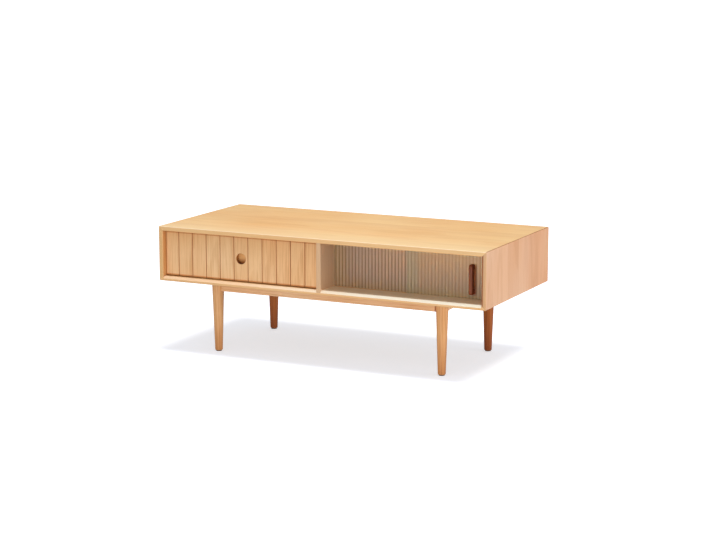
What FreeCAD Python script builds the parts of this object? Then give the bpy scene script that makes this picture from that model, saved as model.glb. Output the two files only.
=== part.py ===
import FreeCAD, Part
import os
from FreeCAD import Vector

# Coffee table in oak: a mitred casing with a planked drawer on the left and a bay
# behind sliding reeded glass on the right, on a railed base with turned legs.
# Millimetres, +Z up, front towards -Y, origin on the floor under the middle.

# Overall sizes
table_length = 1200.0
table_depth = 560.0
casing_height = 188.0
base_height = 244.0

# Casing
panel_thickness = 16.0
partition_thickness = 16.0
partition_middle = 8.0
corner_round = 3.0
edge_bevel = 2.0
lip_bevel = 8.0
spline_width = 12.0
spline_thickness = 4.0
spline_stop = 24.0
back_thickness = 9.0
back_inset = 10.0
back_groove_depth = 6.0
back_play = 0.5
loose_tongue_thickness = 6.0
loose_tongue_width = 18.0
loose_tongue_stop = 40.0

# Sliding glass panes
pane_recess = 92.0
glass_thickness = 5.0
pane_gap = 6.0
pane_overlap = 32.0
pane_end_play = 0.5
reed_pitch = 12.0
reed_depth = 1.2
groove_play = 0.5
bottom_groove_depth = 4.0
top_groove_depth = 9.0
pane_top_engagement = 5.0

# Bar handle of the right pane and its screws
handle_width = 14.0
handle_height = 98.0
handle_projection = 22.0
handle_bar_thickness = 15.0
handle_foot_height = 18.0
handle_outer_round = 8.0
handle_inner_round = 5.0
handle_edge_bevel = 2.0
handle_from_pane_end = 66.5
handle_drop = 14.0
handle_screw_diameter = 4.0
handle_screw_depth = 12.0
handle_screw_head_diameter = 8.0
handle_screw_head_height = 2.2
handle_washer_diameter = 11.0
handle_washer_thickness = 0.8
glass_hole_diameter = 6.0

# Planked drawer front and its finger pull
drawer_recess = 20.0
drawer_side_gap = 1.5
drawer_top_gap = 2.0
drawer_bottom_gap = 3.0
plank_count = 11
plank_thickness = 12.0
end_plank_trim = 3.75
vee_depth = 2.2
tongue_length = 5.0
tongue_thickness = 4.0
tongue_play = 0.3
finger_hole_diameter = 36.0
finger_hole_bevel = 1.5
finger_pocket_diameter = 50.0
finger_pocket_depth = 9.0

# Drawer box
front_board_thickness = 14.0
front_board_inset = 1.0
drawer_side_thickness = 12.0
drawer_side_height = 120.0
drawer_side_housing = 5.0
drawer_back_clearance = 35.0
drawer_side_clearance = 14.0
drawer_bottom_thickness = 6.0
drawer_bottom_rise = 10.0
drawer_groove_depth = 5.0
drawer_back_thickness = 12.0
drawer_back_setback = 8.0
drawer_back_drop = 10.0
drawer_edge_round = 2.0

# Telescopic runners
runner_space = 13.0
runner_height = 45.0
runner_sheet = 1.2
runner_play = 0.3
runner_channel_depth = 10.0
runner_lip = 4.0
runner_crown = 28.0
runner_front_gap = 2.0
runner_back_gap = 8.0

# Base
leg_inset_length = 184.0
leg_inset_depth = 81.0
leg_top_diameter = 43.0
leg_foot_diameter = 26.0
rail_height = 34.0
rail_thickness = 20.0
rail_edge_round = 2.5
tenon_thickness = 8.0
tenon_height = 20.0
tenon_from_leg_axis = 5.0
block_leg = 62.0
block_height = 20.0
block_leg_play = 0.5
block_screw_diameter = 5.0
block_screw_head_width = 8.0
block_screw_head_height = 3.5
block_screw_depth_in_panel = 10.0
glide_diameter = 20.0
glide_height = 4.0

# Levels and faces that follow from the sizes above
half_length = table_length / 2
half_depth = table_depth / 2
front_y = -half_depth
casing_top = base_height + casing_height
floor_level = base_height + panel_thickness
ceiling_level = casing_top - panel_thickness
inner_half_length = half_length - panel_thickness
opening_middle = (floor_level + ceiling_level) / 2
back_front_y = half_depth - back_inset - back_thickness
partition_left = partition_middle - partition_thickness / 2
partition_right = partition_middle + partition_thickness / 2

# Drawer bay
bay_middle = (partition_left - inner_half_length) / 2
drawer_front_y = front_y + drawer_recess
drawer_front_left = -inner_half_length + drawer_side_gap
drawer_front_right = partition_left - drawer_side_gap
drawer_front_bottom = floor_level + drawer_bottom_gap
drawer_front_top = ceiling_level - drawer_top_gap
plank_back_y = drawer_front_y + plank_thickness
box_front_y = plank_back_y + front_board_thickness
box_back_y = back_front_y - drawer_back_clearance
box_left = -inner_half_length + runner_space
box_right = partition_left - runner_space
side_bottom = floor_level + drawer_side_clearance
side_top = side_bottom + drawer_side_height
box_floor_bottom = side_bottom + drawer_bottom_rise
box_floor_top = box_floor_bottom + drawer_bottom_thickness
runner_middle_z = (side_bottom + side_top) / 2
finger_hole_z = (drawer_front_bottom + drawer_front_top) / 2

# Glass bay
pane_width = (inner_half_length - partition_right + pane_overlap) / 2 - pane_end_play
right_pane_left = inner_half_length - pane_end_play - pane_width
left_pane_left = partition_right + pane_end_play
front_pane_y = front_y + pane_recess
rear_pane_y = front_pane_y + glass_thickness + pane_gap
pane_bottom = floor_level - bottom_groove_depth
pane_top = ceiling_level + pane_top_engagement
handle_x = inner_half_length - pane_end_play - handle_from_pane_end
handle_bottom = opening_middle - handle_drop - handle_height / 2
handle_foot_levels = (
    handle_bottom + handle_foot_height / 2,
    handle_bottom + handle_height - handle_foot_height / 2,
)

# Base places
leg_x = half_length - leg_inset_length
leg_y = half_depth - leg_inset_depth
rail_bottom = base_height - rail_height
tenon_bottom = rail_bottom + (rail_height - tenon_height) / 2
block_bottom = base_height - block_height

tolerance = 0.01
hexagon_corner_ratio = 3 ** -0.5
along_x = Vector(1, 0, 0)
along_y = Vector(0, 1, 0)
along_z = Vector(0, 0, 1)


def block(x, y, z):
    # A board between two places on each axis.
    return Part.makeBox(x[1] - x[0], y[1] - y[0], z[1] - z[0], Vector(x[0], y[0], z[0]))


def rod(diameter, start, direction, length):
    return Part.makeCylinder(diameter / 2, length, start, direction)


def extruded(points, direction):
    # A closed polygon of points carried along a direction.
    wire = Part.makePolygon(list(points) + [points[0]])
    return Part.Face(wire).extrude(direction)


def straight_edges(shape, direction, test):
    # Straight edges of a shape along a direction whose middle passes the test.
    found = []
    for edge in shape.Edges:
        if not isinstance(edge.Curve, Part.Line):
            continue
        aside = edge.tangentAt(edge.FirstParameter).cross(direction).Length
        if aside < tolerance and test(edge.CenterOfMass):
            found.append(edge)
    return found


def cut_all(shape, tools):
    for tool in tools:
        shape = shape.cut(tool)
    return shape


def near(value, target):
    return abs(value - target) < tolerance


# Casing

def casing_ring():
    # The four panels as one mitred ring: rounded corners, bevelled arrises at front and back.
    depth = (-half_depth, half_depth)
    outer = block((-half_length, half_length), depth, (base_height, casing_top))
    inner = block((-inner_half_length, inner_half_length), depth, (floor_level, ceiling_level))
    ring = outer.cut(inner)
    corners = straight_edges(ring, along_y, lambda middle: near(abs(middle.x), half_length))
    ring = ring.makeFillet(corner_round, corners)
    rims = [
        edge for edge in ring.Edges
        if near(edge.BoundBox.YLength, 0) and near(abs(edge.CenterOfMass.y), half_depth)
    ]
    ring = ring.makeChamfer(edge_bevel, rims)
    groove = block(
        (-inner_half_length - back_groove_depth, inner_half_length + back_groove_depth),
        (back_front_y, back_front_y + back_thickness),
        (floor_level - back_groove_depth, ceiling_level + back_groove_depth),
    )
    return ring.cut(groove)


def mitre_wedges():
    # Trapezoids between the mitre planes that part the ring into its panels.
    reach = panel_thickness / 4
    outer_x = half_length + reach
    inner_x = inner_half_length - reach
    outer_top = casing_top + reach
    inner_top = ceiling_level - reach
    outer_bottom = base_height - reach
    inner_bottom = floor_level + reach
    outer = {
        "top_left": (-outer_x, outer_top),
        "top_right": (outer_x, outer_top),
        "bottom_left": (-outer_x, outer_bottom),
        "bottom_right": (outer_x, outer_bottom),
    }
    inner = {
        "top_left": (-inner_x, inner_top),
        "top_right": (inner_x, inner_top),
        "bottom_left": (-inner_x, inner_bottom),
        "bottom_right": (inner_x, inner_bottom),
    }
    panel_ends = {
        "top_panel": ("top_left", "top_right"),
        "bottom_panel": ("bottom_left", "bottom_right"),
        "left_side_panel": ("top_left", "bottom_left"),
        "right_side_panel": ("top_right", "bottom_right"),
    }
    wedges = {}
    for name, (start, end) in panel_ends.items():
        outline = [outer[start], outer[end], inner[end], inner[start]]
        points = [Vector(x, -table_depth, z) for x, z in outline]
        wedges[name] = extruded(points, along_y * (2 * table_depth))
    return wedges


def mitre_splines():
    # A loose tongue square to the mitre in each corner, stopped short of both arrises.
    splines = []
    half_panel = panel_thickness / 2
    for side in (-1, 1):
        for level, upward in ((casing_top - half_panel, 1), (base_height + half_panel, -1)):
            middle = Vector(side * (half_length - half_panel), front_y + spline_stop, level)
            mitre = Vector(side, 0, upward).normalize() * (spline_thickness / 2)
            across = Vector(side, 0, -upward).normalize() * (spline_width / 2)
            points = [
                middle + mitre + across,
                middle + mitre - across,
                middle - mitre - across,
                middle - mitre + across,
            ]
            splines.append(extruded(points, along_y * (table_depth - 2 * spline_stop)))
    return splines


def partition_tongues():
    # A strip at each end of the partition, half in it and half in the panel, stopped at both edges.
    half_thickness = loose_tongue_thickness / 2
    half_width = loose_tongue_width / 2
    x = (partition_middle - half_thickness, partition_middle + half_thickness)
    y = (front_y + loose_tongue_stop, back_front_y - loose_tongue_stop)
    return [block(x, y, (level - half_width, level + half_width)) for level in (floor_level, ceiling_level)]


def pane_grooves():
    # Twin grooves over the bay's whole width, deeper above so that a pane lifts out.
    grooves = []
    for face_y in (front_pane_y, rear_pane_y):
        y = (face_y - groove_play, face_y + glass_thickness + groove_play)
        x = (partition_right, inner_half_length)
        grooves.append(block(x, y, (floor_level - bottom_groove_depth, floor_level)))
        grooves.append(block(x, y, (ceiling_level, ceiling_level + top_groove_depth)))
    return grooves


def front_lip():
    # The wedge that slopes the bottom's upper front arris, stopped at the side panels.
    outline = [(front_y, floor_level), (front_y, floor_level - lip_bevel), (front_y + lip_bevel, floor_level)]
    points = [Vector(-inner_half_length, y, z) for y, z in outline]
    return extruded(points, along_x * (2 * inner_half_length))


def make_partition(panels, tongues):
    # Flush with the casing's front edges, and scribed to the bevels of the panels above and below.
    z = (floor_level - lip_bevel, ceiling_level + edge_bevel)
    board = block((partition_left, partition_right), (front_y, back_front_y), z)
    arrises = straight_edges(board, along_z, lambda middle: near(middle.y, front_y))
    return cut_all(board.makeChamfer(edge_bevel, arrises), panels + tongues)


def make_back():
    housed = back_groove_depth - back_play
    return block(
        (-inner_half_length - housed, inner_half_length + housed),
        (back_front_y, back_front_y + back_thickness),
        (floor_level - housed, ceiling_level + housed),
    )


def make_casing(base_screws):
    ring = casing_ring()
    splines = mitre_splines()
    tongues = partition_tongues()
    cuts = {
        "top_panel": splines + tongues + pane_grooves(),
        "bottom_panel": splines + tongues + pane_grooves() + base_screws + [front_lip()],
        "left_side_panel": splines,
        "right_side_panel": splines,
    }
    pieces = {}
    for name, wedge in mitre_wedges().items():
        pieces[name] = cut_all(ring.common(wedge), cuts[name])
    pieces["centre_partition"] = make_partition([pieces["bottom_panel"], pieces["top_panel"]], tongues)
    pieces["back_panel"] = make_back()
    pieces["mitre_splines"] = Part.makeCompound(splines)
    pieces["partition_tongues"] = Part.makeCompound(tongues)
    return pieces


# Glass panes and the handle

def reeded_pane(left, face_y):
    # Flat face to the front, a row of convex reeds along the back.
    right = left + pane_width
    valley = face_y + glass_thickness - reed_depth
    crest = face_y + glass_thickness
    reeds = int(pane_width // reed_pitch)
    margin = (pane_width - reeds * reed_pitch) / 2
    outline = [
        Vector(left + margin, valley, pane_bottom),
        Vector(left, valley, pane_bottom),
        Vector(left, face_y, pane_bottom),
        Vector(right, face_y, pane_bottom),
        Vector(right, valley, pane_bottom),
        Vector(right - margin, valley, pane_bottom),
    ]
    edges = list(Part.makePolygon(outline).Edges)
    for index in range(reeds):
        start = right - margin - index * reed_pitch
        edges.append(
            Part.Arc(
                Vector(start, valley, pane_bottom),
                Vector(start - reed_pitch / 2, crest, pane_bottom),
                Vector(start - reed_pitch, valley, pane_bottom),
            ).toShape()
        )
    return Part.Face(Part.Wire(edges)).extrude(along_z * (pane_top - pane_bottom))


def handle_screws():
    # Pan-head screws from the reeded face, through the glass into the handle's feet.
    screws = []
    seat_y = front_pane_y + glass_thickness + handle_washer_thickness
    shank_length = handle_washer_thickness + glass_thickness + handle_screw_depth
    for level in handle_foot_levels:
        seat = Vector(handle_x, seat_y, level)
        shank = rod(handle_screw_diameter, seat, -along_y, shank_length)
        head = rod(handle_screw_head_diameter, seat, along_y, handle_screw_head_height)
        screws.append(shank.fuse(head).removeSplitter())
    return screws


def handle_washers():
    washers = []
    for level in handle_foot_levels:
        seat = Vector(handle_x, front_pane_y + glass_thickness, level)
        disc = rod(handle_washer_diameter, seat, along_y, handle_washer_thickness)
        washers.append(disc.cut(rod(handle_screw_diameter, seat, along_y, handle_washer_thickness)))
    return washers


def make_handle(screws):
    # A bridge-shaped bar: outline in the upright plane, carried over its width.
    left = handle_x - handle_width / 2
    top = handle_bottom + handle_height
    bar_face = front_pane_y - handle_projection
    bar_back = bar_face + handle_bar_thickness
    outline = [
        (front_pane_y, handle_bottom),
        (bar_face, handle_bottom),
        (bar_face, top),
        (front_pane_y, top),
        (front_pane_y, top - handle_foot_height),
        (bar_back, top - handle_foot_height),
        (bar_back, handle_bottom + handle_foot_height),
        (front_pane_y, handle_bottom + handle_foot_height),
    ]
    bar = extruded([Vector(left, y, z) for y, z in outline], along_x * handle_width)
    outer = straight_edges(bar, along_x, lambda middle: near(middle.y, bar_face))
    bar = bar.makeFillet(handle_outer_round, outer)
    inner = straight_edges(bar, along_x, lambda middle: near(middle.y, bar_back))
    bar = bar.makeFillet(handle_inner_round, inner)
    sides = [
        edge for edge in bar.Edges
        if near(edge.BoundBox.XLength, 0) and not near(edge.BoundBox.YMin, front_pane_y)
    ]
    return cut_all(bar.makeChamfer(handle_edge_bevel, sides), screws)


def make_panes():
    screws = handle_screws()
    holes = []
    for level in handle_foot_levels:
        start = Vector(handle_x, front_pane_y, level)
        holes.append(rod(glass_hole_diameter, start, along_y, glass_thickness))
    return {
        "left_glass_pane": reeded_pane(left_pane_left, rear_pane_y),
        "right_glass_pane": cut_all(reeded_pane(right_pane_left, front_pane_y), holes),
        "pane_handle": make_handle(screws),
        "handle_screws": Part.makeCompound(screws),
        "handle_washers": Part.makeCompound(handle_washers()),
    }


# Drawer

def plank_joints():
    # Joint lines of the planks: one pitch throughout, with both end planks trimmed alike.
    width = drawer_front_right - drawer_front_left
    pitch = (width + 2 * end_plank_trim) / plank_count
    first = drawer_front_left - end_plank_trim
    joints = [first + index * pitch for index in range(plank_count + 1)]
    joints[0] = drawer_front_left
    joints[-1] = drawer_front_right
    return joints


def make_plank(left, right, has_groove, has_tongue):
    # Tongue on the right edge, groove in the left, a bevel along each front arris.
    middle_y = (drawer_front_y + plank_back_y + vee_depth) / 2
    tongue = tongue_thickness / 2
    groove = tongue + tongue_play
    bevel_y = drawer_front_y + vee_depth
    outline = [(left + vee_depth, drawer_front_y), (right - vee_depth, drawer_front_y), (right, bevel_y)]
    if has_tongue:
        tip = right + tongue_length
        outline += [(right, middle_y - tongue), (tip, middle_y - tongue)]
        outline += [(tip, middle_y + tongue), (right, middle_y + tongue)]
    outline += [(right, plank_back_y), (left, plank_back_y)]
    if has_groove:
        root = left + tongue_length + tongue_play
        outline += [(left, middle_y + groove), (root, middle_y + groove)]
        outline += [(root, middle_y - groove), (left, middle_y - groove)]
    outline.append((left, bevel_y))
    points = [Vector(x, y, drawer_front_bottom) for x, y in outline]
    return extruded(points, along_z * (drawer_front_top - drawer_front_bottom))


def with_finger_hole(plank):
    start = Vector(bay_middle, drawer_front_y, finger_hole_z)
    holed = plank.cut(rod(finger_hole_diameter, start, along_y, plank_thickness))
    rim = [
        edge for edge in holed.Edges
        if isinstance(edge.Curve, Part.Circle) and near(edge.CenterOfMass.y, drawer_front_y)
    ]
    return holed.makeChamfer(finger_hole_bevel, rim)


def make_planks():
    joints = plank_joints()
    planks = {}
    for index in range(plank_count):
        plank = make_plank(joints[index], joints[index + 1], index > 0, index < plank_count - 1)
        if joints[index] < bay_middle < joints[index + 1]:
            plank = with_finger_hole(plank)
        planks["drawer_plank_%02d" % (index + 1)] = plank
    return planks


def make_drawer_box():
    # Each board is cut by the ones housed in it, so every housing follows its board.
    inner_left = box_left + drawer_side_thickness
    inner_right = box_right - drawer_side_thickness
    housed = (inner_left - drawer_groove_depth, inner_right + drawer_groove_depth)
    back_y = box_back_y - drawer_back_setback - drawer_back_thickness
    bottom = block(housed, (box_front_y - drawer_groove_depth, box_back_y), (box_floor_bottom, box_floor_top))
    back_top = side_top - drawer_back_drop
    back = block(housed, (back_y, back_y + drawer_back_thickness), (box_floor_top, back_top))
    board = block(
        (drawer_front_left + front_board_inset, drawer_front_right - front_board_inset),
        (plank_back_y, box_front_y),
        (drawer_front_bottom + front_board_inset, drawer_front_top - front_board_inset),
    )
    pocket_start = Vector(bay_middle, plank_back_y, finger_hole_z)
    pocket = rod(finger_pocket_diameter, pocket_start, along_y, finger_pocket_depth)
    pieces = {"drawer_bottom": bottom, "drawer_back": back}
    sides = {
        "drawer_left_side": (box_left, inner_left),
        "drawer_right_side": (inner_right, box_right),
    }
    for name, x in sides.items():
        side = block(x, (box_front_y - drawer_side_housing, box_back_y), (side_bottom, side_top))
        arrises = straight_edges(side, along_y, lambda middle: near(middle.z, side_top))
        pieces[name] = cut_all(side.makeFillet(drawer_edge_round, arrises), [bottom, back])
    housed_boards = [bottom] + [pieces[name] for name in sides]
    pieces["drawer_front_board"] = cut_all(board, [pocket] + housed_boards)
    return pieces


# Telescopic runners

def channel_outline(near_wall, far_wall, half_height):
    # A channel with its web towards the casing and lips turned in at its mouth.
    sheet = runner_sheet
    upper = [
        (near_wall + sheet, half_height - sheet),
        (far_wall - sheet, half_height - sheet),
        (far_wall - sheet, half_height - runner_lip),
        (far_wall, half_height - runner_lip),
        (far_wall, half_height),
        (near_wall, half_height),
    ]
    return upper + [(u, -w) for u, w in reversed(upper)]


def hat_outline(brim, half_height):
    # A hat section: brims held inside the middle channel, crown against the drawer side.
    sheet = runner_sheet
    crown = runner_crown / 2
    upper = [
        (runner_space - sheet, crown - sheet),
        (brim - sheet, crown - sheet),
        (brim - sheet, half_height),
        (brim, half_height),
        (brim, crown),
        (runner_space, crown),
    ]
    return upper + [(u, -w) for u, w in reversed(upper)]


def make_runners():
    # Three members nest with one running clearance; the right set mirrors the left.
    step = runner_sheet + runner_play
    half_height = runner_height / 2
    brim = runner_channel_depth - 2 * step
    sections = {
        "cabinet_member": channel_outline(0, runner_channel_depth, half_height),
        "middle_member": channel_outline(step, runner_channel_depth - step, half_height - step),
        "drawer_member": hat_outline(brim, half_height - 2 * step),
    }
    pieces = {}
    start_y = box_front_y + runner_front_gap
    length = box_back_y - runner_back_gap - start_y
    for name, outline in sections.items():
        points = [Vector(-inner_half_length + u, start_y, runner_middle_z + w) for u, w in outline]
        member = extruded(points, along_y * length)
        pieces["left_runner_" + name] = member
        pieces["right_runner_" + name] = member.mirror(Vector(bay_middle, 0, 0), along_x)
    return pieces


# Base

def leg_blank(x, y):
    start = Vector(x, y, glide_height)
    return Part.makeCone(leg_foot_diameter / 2, leg_top_diameter / 2, base_height - glide_height, start)


def rail_tenon(leg, direction):
    # The tenon that a rail leaving the leg along a direction has inside that leg.
    middle = leg + direction * (tenon_from_leg_axis + leg_top_diameter / 2)
    reach = leg_top_diameter / 2
    half = tenon_thickness / 2
    half_x = reach if abs(direction.x) > 0.5 else half
    half_y = reach if abs(direction.y) > 0.5 else half
    return block(
        (middle.x - half_x, middle.x + half_x),
        (middle.y - half_y, middle.y + half_y),
        (tenon_bottom, tenon_bottom + tenon_height),
    )


def make_rail(start, end, blanks):
    # A bar from leg to leg, scribed to the turned legs, with a tenon into each.
    half = rail_thickness / 2
    direction = (end - start).normalize()
    pad_x = half if abs(direction.y) > 0.5 else 0
    pad_y = half if abs(direction.x) > 0.5 else 0
    bar = block(
        (min(start.x, end.x) - pad_x, max(start.x, end.x) + pad_x),
        (min(start.y, end.y) - pad_y, max(start.y, end.y) + pad_y),
        (rail_bottom, base_height),
    )
    arrises = straight_edges(bar, direction, lambda middle: near(middle.z, rail_bottom))
    bar = cut_all(bar.makeFillet(rail_edge_round, arrises), blanks)
    tenoned = bar.fuse(rail_tenon(start, direction)).fuse(rail_tenon(end, -direction))
    return tenoned.removeSplitter()


def corner_block(side_x, side_y):
    # A triangular block inside two rails, hollowed to clear the leg.
    corner_x = side_x * (leg_x - rail_thickness / 2)
    corner_y = side_y * (leg_y - rail_thickness / 2)
    points = [
        Vector(corner_x, corner_y, block_bottom),
        Vector(corner_x - side_x * block_leg, corner_y, block_bottom),
        Vector(corner_x, corner_y - side_y * block_leg, block_bottom),
    ]
    triangle = extruded(points, along_z * block_height)
    leg_start = Vector(side_x * leg_x, side_y * leg_y, block_bottom)
    return triangle.cut(rod(leg_top_diameter + 2 * block_leg_play, leg_start, along_z, block_height))


def block_screw(side_x, side_y):
    # A hexagon-head screw from below, through the block into the casing.
    inset = block_leg / 3 + rail_thickness / 2
    seat = Vector(side_x * (leg_x - inset), side_y * (leg_y - inset), block_bottom)
    to_flat = Vector(0, block_screw_head_width / 2, 0)
    to_corner = to_flat + along_x * (to_flat.Length * hexagon_corner_ratio)
    corners = [seat + FreeCAD.Rotation(along_z, 60 * turn).multVec(to_corner) for turn in range(6)]
    head = extruded(corners, along_z * -block_screw_head_height)
    shank = rod(block_screw_diameter, seat, along_z, block_height + block_screw_depth_in_panel)
    return head.fuse(shank)


def make_base():
    corners = {
        "front_left": (-1, -1),
        "front_right": (1, -1),
        "back_left": (-1, 1),
        "back_right": (1, 1),
    }
    axes = {name: Vector(sx * leg_x, sy * leg_y, 0) for name, (sx, sy) in corners.items()}
    blanks = [leg_blank(axis.x, axis.y) for axis in axes.values()]
    glides = [rod(glide_diameter, axis, along_z, glide_height) for axis in axes.values()]
    screws = [block_screw(sx, sy) for sx, sy in corners.values()]
    legs = {}
    for name, (sx, sy) in corners.items():
        mortises = [rail_tenon(axes[name], Vector(-sx, 0, 0)), rail_tenon(axes[name], Vector(0, -sy, 0))]
        legs[name] = cut_all(leg_blank(axes[name].x, axes[name].y), mortises)
    pieces = {
        "front_legs": Part.makeCompound([legs["front_left"], legs["front_right"]]),
        "back_legs": Part.makeCompound([legs["back_left"], legs["back_right"]]),
    }
    rails = {
        "front_rail": ("front_left", "front_right"),
        "back_rail": ("back_left", "back_right"),
        "left_rail": ("front_left", "back_left"),
        "right_rail": ("front_right", "back_right"),
    }
    for name, (start, end) in rails.items():
        pieces[name] = make_rail(axes[start], axes[end], blanks)
    blocks = [cut_all(corner_block(sx, sy), screws) for sx, sy in corners.values()]
    pieces["corner_blocks"] = Part.makeCompound(blocks)
    pieces["corner_block_screws"] = Part.makeCompound(screws)
    pieces["leg_glides"] = Part.makeCompound(glides)
    return pieces, screws


base, base_screws = make_base()
parts = {}
parts.update(make_casing(base_screws))
parts.update(base)
parts.update(make_planks())
parts.update(make_drawer_box())
parts.update(make_runners())
parts.update(make_panes())

os.makedirs("parts", exist_ok=True)
for name, shape in parts.items():
    shape.exportStep("parts/%s.step" % name)
    print("%s: %d solids, %.0f mm3, valid %s" % (name, len(shape.Solids), shape.Volume, shape.isValid()))
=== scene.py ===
import math

import bpy
import numpy as np
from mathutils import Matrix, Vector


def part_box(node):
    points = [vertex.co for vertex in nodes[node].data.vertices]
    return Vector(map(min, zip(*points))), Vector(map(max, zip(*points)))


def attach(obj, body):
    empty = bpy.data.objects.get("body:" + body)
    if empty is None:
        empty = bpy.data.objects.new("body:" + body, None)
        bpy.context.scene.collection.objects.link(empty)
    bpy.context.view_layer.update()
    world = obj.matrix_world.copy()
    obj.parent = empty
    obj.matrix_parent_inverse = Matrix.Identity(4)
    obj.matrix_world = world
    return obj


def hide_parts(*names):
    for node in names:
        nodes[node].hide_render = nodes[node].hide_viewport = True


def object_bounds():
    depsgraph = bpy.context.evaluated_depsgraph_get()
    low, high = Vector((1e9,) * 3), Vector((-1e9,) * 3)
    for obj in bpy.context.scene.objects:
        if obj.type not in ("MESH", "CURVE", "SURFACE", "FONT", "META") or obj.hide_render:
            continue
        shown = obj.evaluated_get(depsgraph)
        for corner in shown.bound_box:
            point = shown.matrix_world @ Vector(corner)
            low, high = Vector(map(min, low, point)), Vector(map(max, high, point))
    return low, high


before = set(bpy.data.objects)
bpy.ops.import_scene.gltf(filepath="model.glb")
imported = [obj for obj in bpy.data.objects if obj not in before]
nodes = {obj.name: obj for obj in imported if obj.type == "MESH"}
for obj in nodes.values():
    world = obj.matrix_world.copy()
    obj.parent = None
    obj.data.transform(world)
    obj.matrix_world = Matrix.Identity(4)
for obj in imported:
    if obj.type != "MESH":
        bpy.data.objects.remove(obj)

# Oak coffee table: planked drawer on the left, sliding reeded glass on the right, turned legs.
# Metres throughout; mm turns a size in millimetres into metres.
mm = 0.001
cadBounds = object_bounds()


def linear(hexColour):
    # sRGB hex to linear RGBA: a straight line below 0.04045, a power of 2.4 above it
    srgb = np.array([int(hexColour[i:i + 2], 16) for i in (1, 3, 5)]) / 255
    rgb = np.where(srgb <= 0.04045, srgb / 12.92, ((srgb + 0.055) / 1.055) ** 2.4)
    return (*rgb, 1.0)


def addNode(tree, kind, inputs=None, **settings):
    # one node: settings are its properties, inputs are values or the sockets that feed it
    node = tree.nodes.new("ShaderNode" + kind)
    for name, value in settings.items():
        setattr(node, name, value)
    for key, value in (inputs or {}).items():
        if isinstance(value, bpy.types.NodeSocket):
            tree.links.new(value, node.inputs[key])
        else:
            node.inputs[key].default_value = value
    return node


def newMaterial(name):
    material = bpy.data.materials.new(name)
    material.use_nodes = True
    material.node_tree.nodes.clear()
    return material, material.node_tree


def tintOver(tree, colour, tint, share, strength=1.0, how="MULTIPLY"):
    # lays a tint over a colour as far as share times strength goes; both are hex values or sockets; it lays
    # on real tints and painted light and shade alike
    under, over = (linear(tone) if isinstance(tone, str) else tone for tone in (colour, tint))
    amount = addNode(tree, "Math", {0: share, 1: strength}, operation="MULTIPLY").outputs[0]
    settings = {"data_type": "RGBA", "blend_type": how}
    return addNode(tree, "Mix", {0: amount, 6: under, 7: over}, **settings).outputs[2]


def softOblong(tree, place, oblong):
    # 1 in an oblong, falling smoothly to 0 at fade outside it:
    # distance = length of max(|place - middle| - half, 0)
    moved = addNode(tree, "VectorMath", {0: place, 1: oblong["middle"]}, operation="SUBTRACT").outputs[0]
    outward = addNode(tree, "VectorMath", {0: moved}, operation="ABSOLUTE").outputs[0]
    beyond = addNode(tree, "VectorMath", {0: outward, 1: oblong["half"]}, operation="SUBTRACT").outputs[0]
    outside = addNode(tree, "VectorMath", {0: beyond, 1: (0, 0, 0)}, operation="MAXIMUM").outputs[0]
    away = addNode(tree, "VectorMath", {0: outside}, operation="LENGTH").outputs["Value"]
    fall = {0: away, 2: oblong["fade"], 3: 1.0, 4: 0.0}
    return addNode(tree, "MapRange", fall, interpolation_type="SMOOTHSTEP").outputs[0]


# Marks on the wood, real ones and painted light and shade: each takes the piece's sockets and the colour so
# far, and gives back the colour with the mark laid on
levelFrom = 0.8  # the upward part of a normal from which a surface begins to count as level


def plankJoints(piece, colour, mark):
    # dark line where two planks meet, a little wider than the real one so that it shows
    tree = piece["tree"]
    line = mark["width"] * mm / piece["boardWidth"]
    halfPlank = 0.5  # planks are counted from joint to joint
    fromJoint = addNode(tree, "Math", {0: piece["counted"], 1: halfPlank}, operation="PINGPONG").outputs[0]
    shading = {0: fromJoint, 1: line * mark["core"], 2: line, 3: mark["tone"], 4: 0.0}
    dark = addNode(tree, "MapRange", shading).outputs[0]
    return tintOver(tree, colour, mark["tint"], dark)


def frontEdge(piece, colour, mark):
    # front edges are cut across other growth than the faces
    return tintOver(piece["tree"], colour, mark["tint"], piece["frontal"], mark["tone"], "MIX")


def paintedFrontLight(piece, colour, mark):
    # painted light: the top is painted paler towards its front edge
    tree = piece["tree"]
    far = mark["edge"] + mark["far"] * mm
    near = mark["edge"] + mark["near"] * mm
    pale = addNode(tree, "MapRange", {0: piece["y"], 1: far, 2: near, 4: mark["tone"]}).outputs[0]
    level = addNode(tree, "MapRange", {0: piece["upward"], 1: levelFrom}).outputs[0]
    return tintOver(tree, colour, mark["tint"], pale, level, "MIX")


def paintedArrisShade(piece, colour, mark):
    # painted shade along the inner arris of a front edge, where its bevel turns from the light
    tree = piece["tree"]
    dark = mark["inner"] + mark["dark"] * mm
    clear = mark["inner"] + mark["clear"] * mm
    arrisDark = addNode(tree, "MapRange", {0: piece["x"], 1: dark, 2: clear, 3: 1.0, 4: 0.0}).outputs[0]
    sideways, ahead = mark["facing"]
    turned = addNode(tree, "MapRange", {0: piece["frontal"], 1: sideways, 2: ahead}).outputs[0]
    return tintOver(tree, colour, mark["tint"], arrisDark, turned)


def paintedBayLight(piece, colour, mark):
    # painted light: the floor of the glass bay is painted paler and greyer, though it lies in shade
    tree = piece["tree"]
    level = addNode(tree, "MapRange", {0: piece["upward"], 1: levelFrom}).outputs[0]
    rightward = {0: piece["x"], 1: 0.0, 2: mark["fade"] * mm, 4: mark["tone"]}
    inBay = addNode(tree, "MapRange", rightward).outputs[0]
    return tintOver(tree, colour, mark["tint"], level, inBay, "MIX")


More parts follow.
